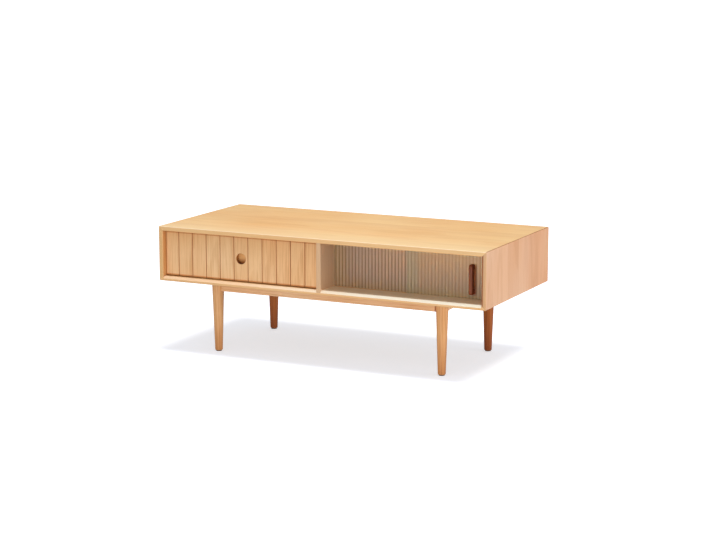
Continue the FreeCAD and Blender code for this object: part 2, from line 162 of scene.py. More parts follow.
def paintedBevelHighlight(piece, colour, mark):
    # painted highlight on bevelled arrises that look up and to the front or back, on the bottom panel painted
    # brighter to the right
    tree = piece["tree"]
    turned = {0: piece["frontal"], 1: piece["upward"]}
    leaning = addNode(tree, "Math", turned, operation="MULTIPLY").outputs[0]
    upright, slanted = mark["leaning"]
    bevel = addNode(tree, "MapRange", {0: leaning, 1: upright, 2: slanted, 4: mark["tone"]}).outputs[0]
    tint = mark["tint"]
    if "rightTint" in mark:
        left, right = mark["span"]
        rightward = addNode(tree, "MapRange", {0: piece["x"], 1: left * mm, 2: right * mm}).outputs[0]
        tint = tintOver(tree, tint, mark["rightTint"], rightward, how="MIX")
    return tintOver(tree, colour, tint, bevel, how="MIX")


def shoulderJointShadow(piece, colour, mark):
    # dark joint line where a rail meets its right-hand leg, drawn wide as a painted shadow that the leg
    # throws on the rail
    tree = piece["tree"]
    clear = mark["place"] - mark["clear"] * mm
    dark = mark["place"] - mark["dark"] * mm
    meet = addNode(tree, "MapRange", {0: piece["x"], 1: clear, 2: dark}).outputs[0]
    return tintOver(tree, colour, mark["tint"], meet)


def paintedEndShade(piece, colour, mark):
    # painted shade: dark at both ends of a plank where the gaps above and below lie in shade, with a slow
    # fade of painted shade below the upper one, under the top panel's overhang
    tree = piece["tree"]
    below = addNode(tree, "Math", {0: mark["high"], 1: piece["z"]}, operation="SUBTRACT").outputs[0]
    above = addNode(tree, "Math", {0: piece["z"], 1: mark["low"]}, operation="SUBTRACT").outputs[0]
    nearest = addNode(tree, "Math", {0: below, 1: above}, operation="MINIMUM").outputs[0]
    belowOverhang = addNode(tree, "MapRange", {0: below, 1: 0.0, 2: mark["fade"] * mm, 3: 1.0, 4: 0.0}).outputs[0]
    ends = {0: nearest, 1: mark["dark"] * mm, 2: mark["clear"] * mm, 3: 1.0, 4: 0.0}
    endShade = addNode(tree, "MapRange", ends).outputs[0]
    return tintOver(tree, tintOver(tree, colour, mark["overhangShadeTint"], belowOverhang), mark["endShadeTint"], endShade)


def darkFoot(piece, colour, mark):
    # a leg darkens towards its foot
    tree = piece["tree"]
    footward = addNode(tree, "MapRange", {0: piece["z"], 1: mark["from"] * mm, 2: 0.0}).outputs[0]
    return tintOver(tree, colour, mark["tint"], footward)


def shadedFingerHole(piece, colour, mark):
    # the finger hole's wall and floor take a tint, painted shade in the planks, and painted shade darkens
    # them most of all below
    tree = piece["tree"]
    moved = {0: piece["place"], 1: mark["axis"]}
    fromAxis = addNode(tree, "VectorMath", moved, operation="SUBTRACT").outputs[0]
    flat = addNode(tree, "VectorMath", {0: fromAxis, 1: (1, 0, 1)}, operation="MULTIPLY").outputs[0]
    radius = addNode(tree, "VectorMath", {0: flat}, operation="LENGTH").outputs["Value"]
    inside = mark["radius"] * mm
    outside = inside + mark["fade"] * mm
    wall = addNode(tree, "MapRange", {0: radius, 1: inside, 2: outside, 3: 1.0, 4: 0.0}).outputs[0]
    height = addNode(tree, "SeparateXYZ", {0: fromAxis}).outputs[2]
    lower = addNode(tree, "MapRange", {0: height, 1: 0.0, 2: -mark["drop"] * mm}).outputs[0]
    return tintOver(tree, tintOver(tree, colour, mark["wallTint"], wall), mark["lowShade"], wall, lower)


def mitreLine(piece, colour, mark):
    # glue line on the corner mitres, drawn a little wide so that it shows: there |x| less the height
    # above or below the casing's middle is constant
    tree = piece["tree"]
    outward = addNode(tree, "Math", {0: piece["x"]}, operation="ABSOLUTE").outputs[0]
    height = addNode(tree, "Math", {0: piece["z"], 1: mark["middle"]}, operation="SUBTRACT").outputs[0]
    away = addNode(tree, "Math", {0: height}, operation="ABSOLUTE").outputs[0]
    less = addNode(tree, "Math", {0: outward, 1: away}, operation="SUBTRACT").outputs[0]
    compared = {0: less, 1: mark["constant"], 2: mark["halfWidth"] * mm}
    line = addNode(tree, "Math", compared, operation="COMPARE").outputs[0]
    aside = addNode(tree, "MapRange", {0: piece["frontal"], 3: mark["tone"], 4: 0.0}).outputs[0]
    return tintOver(tree, colour, mark["tint"], line, aside)


# the marks in the order in which they are laid on, by their keys in a wood's look
woodMarks = {
    "joints": plankJoints, "edge": frontEdge, "frontLight": paintedFrontLight, "arris": paintedArrisShade,
    "bayLight": paintedBayLight, "bevel": paintedBevelHighlight, "shoulder": shoulderJointShadow, "ends": paintedEndShade,
    "foot": darkFoot, "hole": shadedFingerHole, "mitre": mitreLine,
}

# Wood. A Mapping turns each piece's own coordinates so that its grain runs along the first axis.
grainTurns = {
    "alongX": (0, 0, 0),
    "alongY": (0, 0, -math.pi / 2),
    "uprightPanel": (0, math.pi / 2, 0),  # along Z, boards side by side in Y
    "uprightPlank": (math.pi / 2, 0, math.pi / 2),  # along Z, boards side by side in X
}
# streaks are (length, width, detail) with both sizes in millimetres; levels are the noise values from which
# a streak begins to show and at which it shows fully
grainShape = {
    "wander": (260, 46, 2.0), "slow": (420, 240, 1.0), "pores": (22, 0.9, 1.0),
    "fibreLength": 120, "fibreDetail": 3.0,
    "slowLevels": (0.35, 0.65), "poreLevels": (0.58, 0.72), "fibreLevels": (0.3, 0.7),
    "pithDepth": (8, 42), "lateWood": ((0.0, 0.25), (0.45, 0.1), (0.85, 1.0), (1.0, 0.3)),
    "roughSpread": 0.12, "poreSink": -0.6, "bumpStrength": 0.25, "bumpHeight": 0.15,
}


def wood(name, look):
    # Growth rings are shells round a pith line that leans away from the board, so a flat face shows
    # cathedrals: distance = length of (across - pith, depth + sunk + lean * along), plus a slow wander.
    material, tree = newMaterial(name)
    coordinates = addNode(tree, "TexCoord").outputs
    place = coordinates["Object"]
    turned = addNode(tree, "Mapping", {"Vector": place, "Rotation": grainTurns[look["turn"]]}).outputs[0]
    along, across, depth = addNode(tree, "SeparateXYZ", {0: turned}).outputs

    def streaks(length, width, detail):
        size = (1 / (length * mm), 1 / (width * mm), 1 / (width * mm))
        stretched = addNode(tree, "Mapping", {"Vector": turned, "Scale": size}).outputs[0]
        return addNode(tree, "TexNoise", {"Vector": stretched, "Scale": 1.0, "Detail": detail}).outputs[0]

    # three random numbers for each board
    boardWidth = look["boardWidth"] * mm
    counting = {0: across, 1: 1 / boardWidth, 2: -look["firstBoard"] * mm / boardWidth}
    counted = addNode(tree, "Math", counting, operation="MULTIPLY_ADD").outputs[0]
    boardNumber = addNode(tree, "Math", {0: counted}, operation="FLOOR").outputs[0]
    seeded = addNode(tree, "Math", {0: boardNumber, 1: look["seed"]}, operation="ADD").outputs[0]
    chance = addNode(tree, "TexWhiteNoise", {"W": seeded}, noise_dimensions="1D").outputs["Color"]
    pithDraw, leanDraw, sunkDraw = addNode(tree, "SeparateColor", {0: chance}).outputs

    # rings
    inBoard = addNode(tree, "Math", {0: counted}, operation="FRACT").outputs[0]
    offset = addNode(tree, "Math", {0: inBoard, 1: pithDraw}, operation="SUBTRACT").outputs[0]
    sideways = addNode(tree, "Math", {0: offset, 1: boardWidth}, operation="MULTIPLY").outputs[0]
    lean = addNode(tree, "MapRange", {0: leanDraw, 3: -look["lean"], 4: look["lean"]}).outputs[0]
    shallow, deep = grainShape["pithDepth"]
    sunk = addNode(tree, "MapRange", {0: sunkDraw, 3: shallow * mm, 4: deep * mm}).outputs[0]
    leaning = addNode(tree, "Math", {0: along, 1: lean, 2: depth}, operation="MULTIPLY_ADD").outputs[0]
    down = addNode(tree, "Math", {0: leaning, 1: sunk}, operation="ADD").outputs[0]
    fromPith = addNode(tree, "CombineXYZ", {0: sideways, 1: down}).outputs[0]
    distance = addNode(tree, "VectorMath", {0: fromPith}, operation="LENGTH").outputs["Value"]
    wander = {0: streaks(*grainShape["wander"]), 1: look["wander"] * mm, 2: distance}
    wandering = addNode(tree, "Math", wander, operation="MULTIPLY_ADD").outputs[0]
    rings = addNode(tree, "Math", {0: wandering, 1: look["ringWidth"] * mm}, operation="DIVIDE").outputs[0]
    ring = addNode(tree, "Math", {0: rings}, operation="FRACT").outputs[0]
    lateWood = addNode(tree, "FloatCurve", {1: ring})
    curve = lateWood.mapping.curves[0]
    first, *between, last = grainShape["lateWood"]
    curve.points[0].location = first
    curve.points[1].location = last
    for point in between:
        curve.points.new(*point)
    lateWood.mapping.update()

    # colour: rings and fibres, then the board's own tint, a slow change over the panel, and pores
    fibre = streaks(grainShape["fibreLength"], look["fibreWidth"], grainShape["fibreDetail"])
    poreFrom, poreFull = grainShape["poreLevels"]
    pores = addNode(tree, "MapRange", {0: streaks(*grainShape["pores"]), 1: poreFrom, 2: poreFull}).outputs[0]
    fibreFrom, fibreFull = grainShape["fibreLevels"]
    fibres = {0: fibre, 1: fibreFrom, 2: fibreFull, 3: -look["fibreTone"], 4: look["fibreTone"]}
    fibreShare = addNode(tree, "MapRange", fibres).outputs[0]
    grain = {0: lateWood.outputs[0], 1: look["ringTone"], 2: fibreShare}
    grainShare = addNode(tree, "Math", grain, operation="MULTIPLY_ADD", use_clamp=True).outputs[0]
    colour = tintOver(tree, look["early"], look["late"], grainShare, how="MIX")
    colour = tintOver(tree, colour, look["dusk"], pithDraw, look["boardTone"])
    colour = tintOver(tree, colour, look["blush"], leanDraw, look["boardTone"])
    slowFrom, slowFull = grainShape["slowLevels"]
    slow = addNode(tree, "MapRange", {0: streaks(*grainShape["slow"]), 1: slowFrom, 2: slowFull}).outputs[0]
    colour = tintOver(tree, colour, look["slow"], slow, look["slowTone"])
    colour = tintOver(tree, colour, look["pore"], pores, look["poreTone"], "MIX")

    # what use, oil and joints have left on it, and painted light and shade
    x, y, z = addNode(tree, "SeparateXYZ", {0: place}).outputs
    facing = addNode(tree, "SeparateXYZ", {0: coordinates["Normal"]}).outputs
    frontal = addNode(tree, "Math", {0: facing[1]}, operation="ABSOLUTE").outputs[0]
    piece = {
        "tree": tree, "place": place, "x": x, "y": y, "z": z, "frontal": frontal, "upward": facing[2],
        "counted": counted, "boardWidth": boardWidth,
    }
    for key, layOn in woodMarks.items():
        if key in look:
            colour = layOn(piece, colour, look[key])

    rough = look["roughness"]
    spread = {0: fibre, 1: fibreFrom, 2: fibreFull, 3: rough, 4: rough + grainShape["roughSpread"]}
    roughness = addNode(tree, "MapRange", spread).outputs[0]
    relief = {0: pores, 1: grainShape["poreSink"], 2: fibre}
    height = addNode(tree, "Math", relief, operation="MULTIPLY_ADD").outputs[0]
    raised = {
        "Height": height, "Strength": grainShape["bumpStrength"], "Distance": grainShape["bumpHeight"] * mm,
    }
    normal = addNode(tree, "Bump", raised).outputs[0]
    finish = {
        "Base Color": colour, "Roughness": roughness, "Normal": normal, "IOR": 1.5,
        "Specular IOR Level": look["gloss"],
    }
    shader = addNode(tree, "BsdfPrincipled", finish)
    addNode(tree, "OutputMaterial", {"Surface": shader.outputs[0]})
    return material


def dress(names, material):
    for name in names:
        slots = nodes[name].material_slots
        slots[0].link = "OBJECT"
        slots[0].material = material


topLow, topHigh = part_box("top_panel")
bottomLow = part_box("bottom_panel")[0]
plankNames = sorted(name for name in nodes if name.startswith("drawer_plank_"))
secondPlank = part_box(plankNames[1])[0].x
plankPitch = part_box(plankNames[2])[0].x - secondPlank
plankLow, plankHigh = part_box(plankNames[0])
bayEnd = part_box("right_side_panel")[0].x
frontLow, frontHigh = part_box("drawer_front_board")
legLow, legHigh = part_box("front_legs")
railLow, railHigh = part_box("front_rail")
legRadius = (legHigh.y - legLow.y) / 2
halfRail = (railHigh.y - railLow.y) / 2
railShoulder = legHigh.x - legRadius - math.sqrt(legRadius ** 2 - halfRail ** 2)

# European oak, planed and oiled: pale honey with darker late wood, satin
oakLook = {
    "turn": "alongX", "firstBoard": -280, "boardWidth": 93.4, "seed": 3.0,
    "early": "#f4ca88", "late": "#e1ae6c", "pore": "#a8743c",
    "dusk": "#e6d3bb", "blush": "#f7e2d6", "slow": "#f6dcb4", "slowTone": 0.6,
    "ringWidth": 9.0, "wander": 16.0, "lean": 0.03, "ringTone": 0.3,
    "fibreTone": 0.2, "fibreWidth": 2.6, "poreTone": 0.12, "boardTone": 0.25, "roughness": 0.5, "gloss": 0.5,
}
casingLook = {
    **oakLook,
    "edge": {"tint": "#ecc18c", "tone": 0.6},
    # painted highlight on the bevels
    "bevel": {"tint": "#ffeccb", "tone": 0.6, "leaning": (0.15, 0.45)},
    "mitre": {
        "middle": (bottomLow.z + topHigh.z) / 2, "constant": topHigh.x - (topHigh.z - bottomLow.z) / 2,
        "halfWidth": 1.9, "tint": oakLook["pore"], "tone": 0.8,
    },
}
oakTop = wood("oiled_oak_top", {
    **casingLook,
    # painted light, paler towards the front edge
    "frontLight": {"edge": topLow.y, "far": 170, "near": 20, "tint": "#ffe2ac", "tone": 0.48},
})
oakBottom = wood("oiled_oak_bottom", {
    **casingLook, "seed": 5.0,
    "edge": {"tint": "#ebba88", "tone": 0.6},
    # painted light on the floor of the glass bay
    "bayLight": {"tint": "#ffe6c4", "tone": 0.9, "fade": 8},
    # painted highlight on the bevel, brighter to the right
    "bevel": {
        "tint": "#ffd9b0", "rightTint": "#fff6e0", "span": (-300, 200), "tone": 0.95, "leaning": (0.15, 0.45),
    },
})
# painted light: the back panel's oak is a little paler, for light on it behind the glass
oakBack = wood("oiled_oak_back", {**oakLook, "seed": 7.0, "early": "#f4cc92", "late": "#e3b678"})

sideLook = {**casingLook, "turn": "uprightPanel", "ringTone": 0.45, "boardTone": 0.4}
oakLeft = wood("oiled_oak_left_side", {
    **sideLook, "seed": 13.0, "early": "#f0c288", "late": "#dba565",
    "edge": {"tint": "#e2ba80", "tone": 0.6},
})
oakMiddle = wood("oiled_oak_partition", {
    **sideLook, "seed": 17.0, "early": "#f6d8b8", "late": "#e8c8a4",
    "edge": {"tint": "#cda67c", "tone": 0.6},
})
oakRight = wood("oiled_oak_right_side", {
    **sideLook, "seed": 11.0, "early": "#efc39e", "late": "#dfab82",
    "edge": {"tint": "#c7995f", "tone": 0.6},
    # painted shade along the inner arris beside the glass
    "arris": {"inner": bayEnd, "dark": 4, "clear": 8, "facing": (0.3, 0.6), "tint": "#ac845a"},
})

# the finger pull: a hole in the planks with a wider pocket in the board behind them
fingerHole = {"axis": tuple((frontLow + frontHigh) / 2), "fade": 0.6, "drop": 15}
oakBoard = wood("oiled_oak_front_board", {
    # painted light: the board's oak is painted paler, for light on the pocket floor behind the finger hole
    **oakLook, "seed": 9.0, "early": "#f2caa0", "late": "#deb288",
    # the pocket takes a tint and painted shade towards its bottom
    "hole": {**fingerHole, "radius": 25, "wallTint": "#fff4cc", "lowShade": "#a87e48"},
})
oakPlanks = wood("oiled_oak_planks", {
    **oakLook, "turn": "uprightPlank", "firstBoard": secondPlank / mm, "boardWidth": plankPitch / mm,
    "seed": 21.0, "early": "#f6cd9b", "late": "#deac76", "blush": "#f9e6da",
    "boardTone": 0.3, "ringTone": 0.5, "fibreTone": 0.5, "fibreWidth": 4.5,
    "joints": {"width": 1.7, "core": 0.6, "tone": 0.8, "tint": oakLook["pore"]},
    # painted shade at the plank ends and below the top panel's overhang
    "ends": {
        "low": plankLow.z, "high": plankHigh.z, "dark": 3, "clear": 6, "fade": 80,
        "endShadeTint": "#d6b48e", "overhangShadeTint": "#eee8dc",
    },
    # painted shade on the hole's wall, darkest below
    "hole": {**fingerHole, "radius": 18, "wallTint": "#d6ac66", "lowShade": "#8c6634"},
})

baseLook = {
    **oakLook, "early": "#e6b27a", "late": "#c99056", "ringTone": 0.5, "fibreTone": 0.4, "fibreWidth": 3.6,
}
railLook = {**baseLook, "early": "#f3ca9e", "late": "#d8a472", "boardWidth": 200}
oakRails = wood("oiled_oak_long_rails", {
    **railLook, "seed": 31.0, "firstBoard": -300,
    # joint line and painted shadow of the right-hand leg on the rail
    "shoulder": {"place": railShoulder, "clear": 4.5, "dark": 2, "tint": oakLook["pore"]},
})
oakCrossRails = wood("oiled_oak_cross_rails", {
    **railLook, "turn": "alongY", "seed": 41.0, "firstBoard": -500,
})
legLook = {**baseLook, "turn": "uprightPanel"}
oakFrontLegs = wood("oiled_oak_front_legs", {
    **legLook, "seed": 51.0,
    "foot": {"from": 130, "tint": "#e4ceb8"},
})
# painted shade: the back legs are a darker copy of the oak, for the shade under the table
oakBackLegsShaded = wood("oiled_oak_back_legs_painted_shade", {
    **legLook, "seed": 55.0, "early": "#b2662a", "late": "#8e4c18", "gloss": 0.3,
    "foot": {"from": 130, "tint": "#ccb49e"},
})

# Beech, sanded and left bare: pale, close-grained
beechLook = {
    **oakLook, "early": "#ecd2a8", "late": "#dfbd8c", "pore": "#b08a58", "ringTone": 0.25, "roughness": 0.55,
}
beechSides = wood("sanded_beech_sides", {**beechLook, "turn": "alongY", "seed": 61.0})
beechBack = wood("sanded_beech_back", {**beechLook, "seed": 71.0})

# Birch plywood: broad, pale peeled figure
birchPly = wood("birch_plywood", {
    **beechLook, "boardWidth": 900, "firstBoard": -450, "ringWidth": 22,
    "early": "#efdcb8", "late": "#e2c797",
})

# Walnut, oiled: dark red-brown
walnut = wood("oiled_walnut", {
    **oakLook, "turn": "uprightPlank", "seed": 91.0, "early": "#8b4b2c", "late": "#552a16", "pore": "#2c1207",
    "dusk": "#c9b8ac", "blush": "#e8cfc4", "ringWidth": 5.0, "wander": 9.0, "ringTone": 0.5, "gloss": 0.25,
})

dress(["top_panel"], oakTop)
dress(["bottom_panel"], oakBottom)
dress(["left_side_panel"], oakLeft)
dress(["centre_partition"], oakMiddle)
dress(["right_side_panel"], oakRight)
dress(["back_panel"], oakBack)
dress(["drawer_front_board"], oakBoard)
dress(plankNames, oakPlanks)
dress(["front_rail", "back_rail", "corner_blocks"], oakRails)
dress(["left_rail", "right_rail"], oakCrossRails)
dress(["drawer_left_side", "drawer_right_side"], beechSides)
dress(["drawer_back"], beechBack)
dress(["drawer_bottom", "mitre_splines", "partition_tongues"], birchPly)
print("wood: oak casing, planks and base, beech and plywood drawer")


# Zinc-plated steel: rolled sheet, bright but slightly cloudy
zincLook = {"streak": (3, 60, 3), "dull": "#a9abad", "bright": "#c9cacb", "roughness": (0.28, 0.46)}


def zincSteel():
    material, tree = newMaterial("zinc_plated_steel")
    place = addNode(tree, "TexCoord").outputs["Object"]
    size = tuple(1 / (length * mm) for length in zincLook["streak"])
    rolled = addNode(tree, "Mapping", {"Vector": place, "Scale": size}).outputs[0]
    cloud = addNode(tree, "TexNoise", {"Vector": rolled, "Scale": 1.0, "Detail": 3.0}).outputs[0]
    tone = tintOver(tree, zincLook["dull"], zincLook["bright"], cloud, how="MIX")
    smooth, cloudy = zincLook["roughness"]
    rough = addNode(tree, "MapRange", {0: cloud, 3: smooth, 4: cloudy}).outputs[0]
    shader = addNode(tree, "BsdfPrincipled", {"Base Color": tone, "Metallic": 1.0, "Roughness": rough})
    addNode(tree, "OutputMaterial", {"Surface": shader.outputs[0]})
    return material


# Moulded nylon: matt brown, with a fine grain
nylonLook = {
    "grain": 0.8, "dark": "#5a4229", "light": "#70543a", "roughness": 0.6,
    "bumpStrength": 0.2, "bumpHeight": 0.1,
}


def mouldedNylon():
    material, tree = newMaterial("moulded_nylon")
    place = addNode(tree, "TexCoord").outputs["Object"]
    noise = {"Vector": place, "Scale": 1 / (nylonLook["grain"] * mm), "Detail": 2.0}
    grit = addNode(tree, "TexNoise", noise).outputs[0]
    tone = tintOver(tree, nylonLook["dark"], nylonLook["light"], grit, how="MIX")
    raised = {
        "Height": grit, "Strength": nylonLook["bumpStrength"], "Distance": nylonLook["bumpHeight"] * mm,
    }
    bump = addNode(tree, "Bump", raised).outputs[0]
    finish = {"Base Color": tone, "Roughness": nylonLook["roughness"], "Normal": bump}
    shader = addNode(tree, "BsdfPrincipled", finish)
    addNode(tree, "OutputMaterial", {"Surface": shader.outputs[0]})
    return material


# Rolled soda-lime glass with a satin finish: it blurs what stands behind it and keeps a pale haze; the
# valleys between its reeds are painted darker as painted shade; lamps pass straight through
glassLook = {
    "ripple": 14, "roughness": (0.26, 0.34), "valley": (0.1, 0.5), "clearness": 0.98, "lampTint": "#f6efe0",
}


def reededGlass(name, crestTint, valleyShadeTint, shadow=None):
    material, tree = newMaterial(name)
    place = addNode(tree, "TexCoord").outputs["Object"]
    noise = {"Vector": place, "Scale": 1 / (glassLook["ripple"] * mm), "Detail": 2.0}
    rolled = addNode(tree, "TexNoise", noise).outputs[0]
    smooth, cloudy = glassLook["roughness"]
    rough = addNode(tree, "MapRange", {0: rolled, 3: smooth, 4: cloudy}).outputs[0]
    reed = addNode(tree, "Attribute", attribute_name="reed").outputs["Fac"]
    deep, shallow = glassLook["valley"]
    # painted shade: darker towards the valleys between the reeds
    valley = addNode(tree, "MapRange", {0: reed, 1: deep, 2: shallow, 3: 1.0, 4: 0.0}).outputs[0]
    tint = tintOver(tree, crestTint, valleyShadeTint, valley, how="MIX")
    if shadow:
        # the soft shadow of the bar in front
        tint = tintOver(tree, tint, shadow["tint"], softOblong(tree, place, shadow))
    finish = {
        "Base Color": tint, "Roughness": rough, "IOR": 1.5, "Transmission Weight": glassLook["clearness"],
    }
    satin = addNode(tree, "BsdfPrincipled", finish)
    clear = addNode(tree, "BsdfTransparent", {"Color": linear(glassLook["lampTint"])})
    lamps = addNode(tree, "LightPath").outputs["Is Shadow Ray"]
    both = addNode(tree, "MixShader", {0: lamps, 1: satin.outputs[0], 2: clear.outputs[0]})
    addNode(tree, "OutputMaterial", {"Surface": both.outputs[0]})
    return material


# Ground glass edges: dull and grey-brown
edgeLook = {"grit": 1.5, "dark": "#a48c6c", "light": "#b69c7a", "roughness": 0.7}


def groundEdge():
    material, tree = newMaterial("ground_glass_edge")
    place = addNode(tree, "TexCoord").outputs["Object"]
    noise = {"Vector": place, "Scale": 1 / (edgeLook["grit"] * mm), "Detail": 2.0}
    grit = addNode(tree, "TexNoise", noise).outputs[0]
    tone = tintOver(tree, edgeLook["dark"], edgeLook["light"], grit, how="MIX")
    finish = {"Base Color": tone, "Roughness": edgeLook["roughness"], "IOR": 1.5}
    shader = addNode(tree, "BsdfPrincipled", finish)
    addNode(tree, "OutputMaterial", {"Surface": shader.outputs[0]})
    return material


steel = zincSteel()
nylon = mouldedNylon()
rearGlass = reededGlass("rolled_reeded_glass_rear", "#d8d2bc", "#8f866d")
handleLow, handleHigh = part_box("pane_handle")
handleMiddle = (handleLow + handleHigh) / 2
barShadow = {
    "middle": (handleMiddle.x + 2 * mm, handleHigh.y, handleMiddle.z - 4 * mm),
    "half": (2 * mm, 1.0, handleMiddle.z - handleLow.z - 6 * mm),
    "fade": 16 * mm, "tint": "#b28673",
}
frontGlass = reededGlass("rolled_reeded_glass_front", "#d0cdaf", "#b7b08f", barShadow)
glassEdge = groundEdge()
dress([name for name in nodes if "runner" in name] + ["corner_block_screws", "handle_screws"], steel)
dress(["leg_glides", "handle_washers"], nylon)
print("metal, nylon and glass ready")


def addPiece(name, material, body, points, faces, crease=30):
    # points is an array of places, faces a list of index lists; folds sharper than crease stay crisp
    mesh = bpy.data.meshes.new(name)
    mesh.from_pydata(points.reshape(-1, 3), [], faces)
    mesh.update()
    mesh.shade_smooth()
    mesh.set_sharp_from_angle(angle=math.radians(crease))
    mesh.materials.append(material)
    piece = bpy.data.objects.new(name, mesh)
    bpy.context.scene.collection.objects.link(piece)
    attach(piece, body)
    return piece


def tubeFaces(rows, columns):
    # quads between neighbouring rows of a closed ring, and one flat face at each end
    row, column = np.meshgrid(np.arange(rows - 1), np.arange(columns), indexing="ij")
    here = row * columns + column
    beside = row * columns + (column + 1) % columns
    quads = np.stack([here, beside, beside + columns, here + columns], axis=-1).reshape(-1, 4)
    last = (rows - 1) * columns
    return quads.tolist() + [list(range(columns))[::-1], list(range(last, last + columns))]


# Turned legs: straight taper to a foot that is cut square, its arris just broken
legShape = {
    "footRadius": 13.0, "footRound": 0.8, "roundSteps": 9, "taperFrom": 12.0, "taperSteps": 24, "sides": 72,
}


def makeLeg(name, node, side, material):
    # radius = straight taper along z, less the quarter-circle r - sqrt(r^2 - t^2) over the last r at the foot
    low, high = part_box(node)
    topRadius = (high.y - low.y) / 2
    centreX = side * (high.x - topRadius)
    centreY = (low.y + high.y) / 2
    footRadius = legShape["footRadius"] * mm
    rise = legShape["footRound"] * mm
    turn = np.linspace(0, math.pi / 2, legShape["roundSteps"])
    straight = np.linspace(low.z + legShape["taperFrom"] * mm, high.z, legShape["taperSteps"])
    z = np.concatenate([low.z + rise - rise * np.cos(turn), straight])
    taper = footRadius + (topRadius - footRadius) * (z - low.z) / (high.z - low.z)
    radius = taper - np.concatenate([rise - rise * np.sin(turn), np.zeros_like(straight)])
    angle = np.linspace(0, 2 * math.pi, legShape["sides"], endpoint=False)
    points = np.empty((len(z), len(angle), 3))
    points[:, :, 0] = centreX + radius[:, None] * np.cos(angle)
    points[:, :, 1] = centreY + radius[:, None] * np.sin(angle)
    points[:, :, 2] = z[:, None]
    leg = addPiece(name, material, "table", points, tubeFaces(len(z), len(angle)))
    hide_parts(node)


for side, word in ((-1, "left"), (1, "right")):
    makeLeg(f"front_{word}_turned_leg", "front_legs", side, oakFrontLegs)
    makeLeg(f"back_{word}_turned_leg", "back_legs", side, oakBackLegsShaded)
print("legs: four turned from oak")


# Glass panes: flat in front, reeded behind
paneShape = {"pitch": 12.0, "reedDepth": 1.2, "stepsPerReed": 16, "crease": 12}


def reedProfile(left, right, front, back):
    # y = back - radius + sqrt(radius^2 - t^2), t measured from the middle of each reed; the loop runs along
    # the flat front and returns over the reeds; crest is 1 on a reed's middle and 0 in a valley
    pitch = paneShape["pitch"] * mm
    depth = paneShape["reedDepth"] * mm
    slack = 0.1 * mm  # so that rounding loses no reed of a pane that holds a whole number of them
    reeds = int((right - left + slack) // pitch)
    margin = ((right - left) - reeds * pitch) / 2
    radius = (pitch ** 2 / 4 + depth ** 2) / (2 * depth)
    x = np.linspace(right - margin, left + margin, reeds * paneShape["stepsPerReed"] + 1)
    hair = 1e-9  # keeps a reed's first step in that reed
    inReed = np.mod(right - margin - x + hair, pitch) - pitch / 2
    y = back - radius + np.sqrt(radius ** 2 - inReed ** 2)
    valley = back - depth
    crest = 1 - np.abs(inReed) / (pitch / 2)
    flat = np.stack([x[::-1], np.full_like(x, front)], axis=1)
    leftEnd = np.array([[left, valley], [left, front]])
    rightEnd = np.array([[right, front], [right, valley]])
    loop = np.concatenate([leftEnd, flat, rightEnd, np.stack([x, y], axis=1)])
    return loop, np.concatenate([np.ones(2), crest[::-1], np.ones(2), crest])


def makePane(name, node, body, glass):
    # the profile carried straight up from the lower edge to the upper one
    low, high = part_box(node)
    loop, crest = reedProfile(low.x, high.x, low.y, high.y)
    points = np.empty((2, len(loop), 3))
    points[:, :, :2] = loop
    points[:, :, 2] = np.array([low.z, high.z])[:, None]
    faces = tubeFaces(2, len(loop))
    pane = addPiece(name, glass, body, points, faces, paneShape["crease"])
    pane.data.attributes.new("reed", "FLOAT", "POINT").data.foreach_set("value", np.tile(crest, 2))
    pane.data.materials.append(glassEdge)
    rightEnd = len(loop) // 2
    for face in (0, rightEnd, len(loop), len(loop) + 1):  # left and right ends, bottom and top
        pane.data.polygons[face].material_index = 1
    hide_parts(node)


makePane("left_reeded_pane", "left_glass_pane", "left_pane", rearGlass)
makePane("right_reeded_pane", "right_glass_pane", "right_pane", frontGlass)
print("panes: two sheets of reeded glass")


# Handle: one bridge of walnut with soft edges
handleShape = {
    "footHeight": 18.0, "barDepth": 15.0, "outerRound": 8.0, "innerRound": 5.0, "softness": 5.0,
    "footSteps": 8, "bendSteps": 15, "barSteps": 11, "sides": 48,
}


def bridgeLine(low, high, inset, bend, frontY):
    # half of a C: along the foot, round a quarter circle and up the bar, then mirrored for the other half
    footSteps = handleShape["footSteps"]
    barSteps = handleShape["barSteps"]
    footZ = low.z + inset
    middleZ = (low.z + high.z) / 2
    turn = np.linspace(0, math.pi / 2, handleShape["bendSteps"])
    footY = high.y + (frontY + bend - high.y) * np.linspace(0, 1, footSteps, endpoint=False)
    barZ = footZ + bend + (middleZ - footZ - bend) * np.linspace(0, 1, barSteps + 1)[1:]
    y = np.concatenate([footY, frontY + bend - bend * np.sin(turn), np.full(barSteps, frontY)])
    z = np.concatenate([np.full(footSteps, footZ), footZ + bend - bend * np.cos(turn), barZ])
    y = np.concatenate([y, y[-2::-1]])
    z = np.concatenate([z, 2 * middleZ - z[-2::-1]])
    return np.stack([y, z], axis=1)


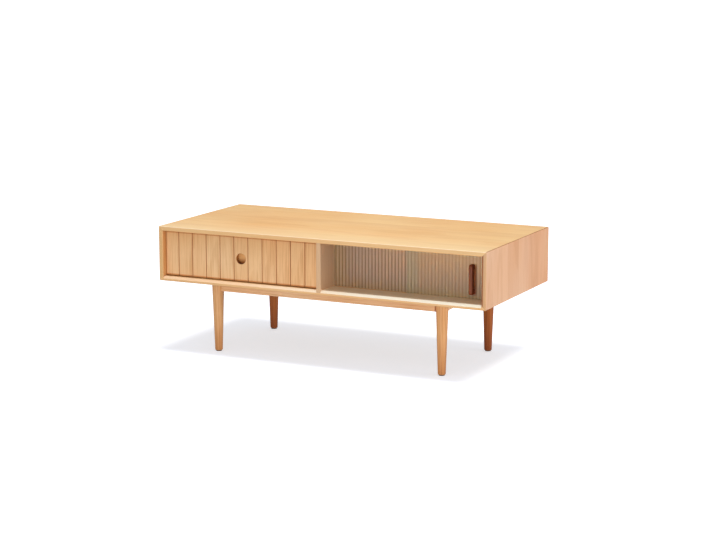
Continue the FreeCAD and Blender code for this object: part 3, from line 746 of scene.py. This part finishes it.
def makeHandle():
    # each section lies between an outer and an inner C: middle + across * u + half width * v, where (u, v)
    # runs round a superellipse |u|^n + |v|^n = 1, which is a rectangle with soft edges
    low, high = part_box("pane_handle")
    outer = bridgeLine(low, high, 0.0, handleShape["outerRound"] * mm, low.y)
    inner = bridgeLine(
        low, high, handleShape["footHeight"] * mm, handleShape["innerRound"] * mm,
        low.y + handleShape["barDepth"] * mm,
    )
    angle = np.linspace(0, 2 * math.pi, handleShape["sides"], endpoint=False)
    power = 2 / handleShape["softness"]
    u = np.sign(np.cos(angle)) * np.abs(np.cos(angle)) ** power
    v = np.sign(np.sin(angle)) * np.abs(np.sin(angle)) ** power
    centre = (outer + inner) / 2
    half = (outer - inner) / 2
    points = np.empty((len(outer), len(angle), 3))
    points[:, :, 0] = (low.x + high.x) / 2 + (high.x - low.x) / 2 * v
    points[:, :, 1] = centre[:, None, 0] + half[:, None, 0] * u
    points[:, :, 2] = centre[:, None, 1] + half[:, None, 1] * u
    faces = tubeFaces(len(outer), len(angle))
    handle = addPiece("walnut_bridge_handle", walnut, "right_pane", points, faces)
    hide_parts("pane_handle")


makeHandle()
print("handle: walnut bridge")


# Floor and light
stageLook = {
    "floorSeen": "#c7cee0", "floorBounce": "#aeafb2", "floorGlow": 0.585, "floorReach": 60.0,
    "worldLevel": 0.46,
    "shade": {"middle": (-0.054, 0.015, 0.0), "half": (0.524, 0.26, 1.0), "fade": 0.12},
}
softboxes = {
    "above": {"place": (0.15, -0.35, 2.9), "size": (0.8, 0.6), "power": 33.5},
    "front": {"place": (0.6, -3.6, 0.34), "size": (1.4, 0.5), "power": 51.0},
    "right": {"place": (3.5, 0.1, 0.38), "size": (1.6, 0.6), "power": 40.5},
}


def seenDirectly(tree):
    # 1 for rays from the camera, mirrors and glass, which see the background
    # 0 for rays that light the object
    path = addNode(tree, "LightPath").outputs
    direct = {0: path["Is Camera Ray"], 1: path["Is Glossy Ray"]}
    seen = addNode(tree, "Math", direct, operation="MAXIMUM").outputs[0]
    return addNode(tree, "Math", {0: seen, 1: path["Is Transmission Ray"]}, operation="MAXIMUM").outputs[0]


def makeFloor():
    # plain and white but for a shaded oblong under the table
    material, tree = newMaterial("pale_studio_floor")
    place = addNode(tree, "TexCoord").outputs["Object"]
    shaded = softOblong(tree, place, stageLook["shade"])
    pale = addNode(tree, "MapRange", {0: shaded, 3: 1.0, 4: stageLook["floorGlow"]}).outputs[0]
    seen = seenDirectly(tree)
    glow = addNode(tree, "Math", {0: seen, 1: pale}, operation="MULTIPLY").outputs[0]
    tone = tintOver(tree, stageLook["floorBounce"], stageLook["floorSeen"], seen, how="MIX")
    matt = addNode(tree, "BsdfDiffuse", {"Color": tone})
    lit = addNode(tree, "Emission", {"Color": (1, 1, 1, 1), "Strength": glow})
    both = addNode(tree, "AddShader", {0: matt.outputs[0], 1: lit.outputs[0]})
    addNode(tree, "OutputMaterial", {"Surface": both.outputs[0]})
    reach = stageLook["floorReach"]
    drop = -0.3 * mm  # just under the glides
    corners = [(-reach, -reach, drop), (reach, -reach, drop), (reach, reach, drop), (-reach, reach, drop)]
    mesh = bpy.data.meshes.new("studio_floor")
    mesh.from_pydata(corners, [], [(0, 1, 2, 3)])
    mesh.materials.append(material)
    floor = bpy.data.objects.new("studio_floor", mesh)
    bpy.context.scene.collection.objects.link(floor)


def makeWorld():
    world = bpy.data.worlds.new("studio")
    bpy.context.scene.world = world
    world.use_nodes = True
    sky = world.node_tree
    sky.nodes.clear()
    level = addNode(sky, "MapRange", {0: seenDirectly(sky), 3: stageLook["worldLevel"], 4: 1.0}).outputs[0]
    background = addNode(sky, "Background", {"Color": (1, 1, 1, 1), "Strength": level})
    addNode(sky, "OutputWorld", {"Surface": background.outputs[0]})


def addSoftbox(name, look, aim):
    light = bpy.data.lights.new("softbox_" + name, "AREA")
    light.shape = "RECTANGLE"
    light.size, light.size_y = look["size"]
    light.energy = look["power"]
    lamp = bpy.data.objects.new("softbox_" + name, light)
    lamp.location = look["place"]
    lamp.rotation_euler = (aim - lamp.location).to_track_quat("-Z", "Y").to_euler()
    bpy.context.scene.collection.objects.link(lamp)


makeFloor()
makeWorld()
middle = (cadBounds[0] + cadBounds[1]) / 2
for name, look in softboxes.items():
    addSoftbox(name, look, middle)
print("stage: floor, world and three softboxes")


# Camera at the photograph's angle: place = aim + distance * line of sight
cameraLook = {
    "azimuth": 25.87, "elevation": 10.45, "distance": 6.5977, "aim": (0.01737, 0.0, 0.28255),
    "lens": 97.55, "sensor": 36.0, "clipEnd": 200.0,
}
azimuth = math.radians(cameraLook["azimuth"])
elevation = math.radians(cameraLook["elevation"])
level = math.cos(elevation)
sight = np.array([math.sin(azimuth) * level, -math.cos(azimuth) * level, math.sin(elevation)])
cameraData = bpy.data.cameras.new("camera")
cameraData.sensor_width = cameraLook["sensor"]
cameraData.lens = cameraLook["lens"]
cameraData.clip_end = cameraLook["clipEnd"]
camera = bpy.data.objects.new("camera", cameraData)
camera.location = np.array(cameraLook["aim"]) + sight * cameraLook["distance"]
camera.rotation_euler = (math.pi / 2 - elevation, 0.0, azimuth)
bpy.context.scene.collection.objects.link(camera)
bpy.context.scene.camera = camera
bpy.context.scene.view_settings.view_transform = "Standard"
print("camera: on the table from the front right")
